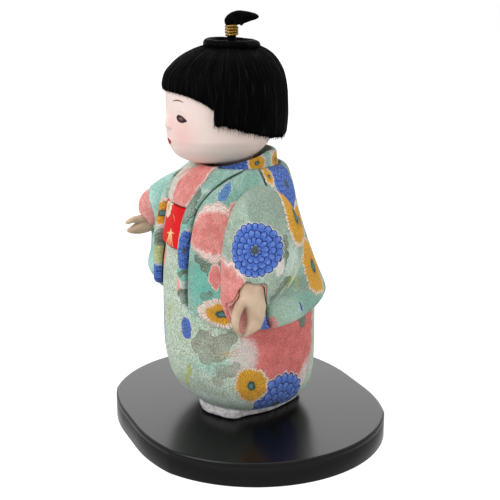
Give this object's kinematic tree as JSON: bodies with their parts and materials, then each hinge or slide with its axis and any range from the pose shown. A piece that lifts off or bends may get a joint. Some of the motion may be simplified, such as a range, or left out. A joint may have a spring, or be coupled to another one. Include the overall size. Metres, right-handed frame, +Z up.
{
  "type": "child doll in kimono on a stand",
  "caption": "Standing child doll in a floral crepe kimono and jacket, with bobbed hair and a topknot, pegged on a black lacquered stand.",
  "frame": {"origin": "middle of the stand, on the surface that it rests on", "axes": "+Z up, -Y the way the doll faces, +X the doll's left"},
  "size_m": [0.1284, 0.1072, 0.1767],
  "materials": {
    "lacquer": "glossy black lacquer",
    "peg_wood": "plain turned wood",
    "composition": "pressed sawdust and paste, bare",
    "white_crepe": "white crepe",
    "kimono_crepe": "floral printed crepe, pale green ground",
    "jacket_crepe": "floral printed crepe, teal ground",
    "lining_crepe": "rose crepe",
    "obi_brocade": "red brocade with gold thread",
    "face_gofun": "smooth shell-white coating, satin",
    "hand_gofun": "smooth shell-white coating, aged beige",
    "silk_hair": "combed black silk thread",
    "gold_cord": "gold paper cord",
    "steel_wire": "bare drawn wire"
  },
  "bodies": {
    "doll": {"display_stand": "lacquer", "stand_peg_left": "peg_wood", "stand_peg_right": "peg_wood", "foot_block": "white_crepe", "body_core": "composition", "kimono_skirt": "kimono_crepe", "obi_sash": "obi_brocade", "kimono_collar_left": "kimono_crepe", "kimono_collar_right": "kimono_crepe", "neck_band": "jacket_crepe", "jacket_placket_left": "jacket_crepe", "jacket_placket_right": "jacket_crepe", "jacket_front_left": "jacket_crepe", "jacket_front_right": "jacket_crepe", "jacket_back": "jacket_crepe", "left_sleeve": "jacket_crepe", "right_sleeve": "jacket_crepe", "left_sleeve_lining": "lining_crepe", "right_sleeve_lining": "lining_crepe", "neck_peg": "peg_wood"},
    "head": {"head": "face_gofun", "hair_bob": "silk_hair", "hair_fringe": "silk_hair", "hair_ring": "silk_hair", "topknot_stem": "silk_hair", "topknot_cord": "gold_cord", "topknot_tail": "silk_hair"},
    "left_hand": {"left_hand": "hand_gofun", "left_wrist_peg": "steel_wire"},
    "right_hand": {"right_hand": "hand_gofun", "right_wrist_peg": "steel_wire"}
  },
  "joints": [
    {"name": "head_turn", "type": "hinge", "parent": "doll", "child": "head", "pos_m": [0, -0.006, 0.12], "axis": [0, 0, 1], "range_deg": [-25, 25]},
    {"name": "left_hand_turn", "type": "hinge", "parent": "doll", "child": "left_hand", "pos_m": [0.0403, -0.0151, 0.0774], "axis": [-0.1457, 0.0705, 0.9868], "range_deg": [-8, 20]},
    {"name": "right_hand_turn", "type": "hinge", "parent": "doll", "child": "right_hand", "pos_m": [-0.037, -0.029, 0.0846], "axis": [0, 0.9861, 0.1661], "range_deg": [-20, 20]}
  ]
}
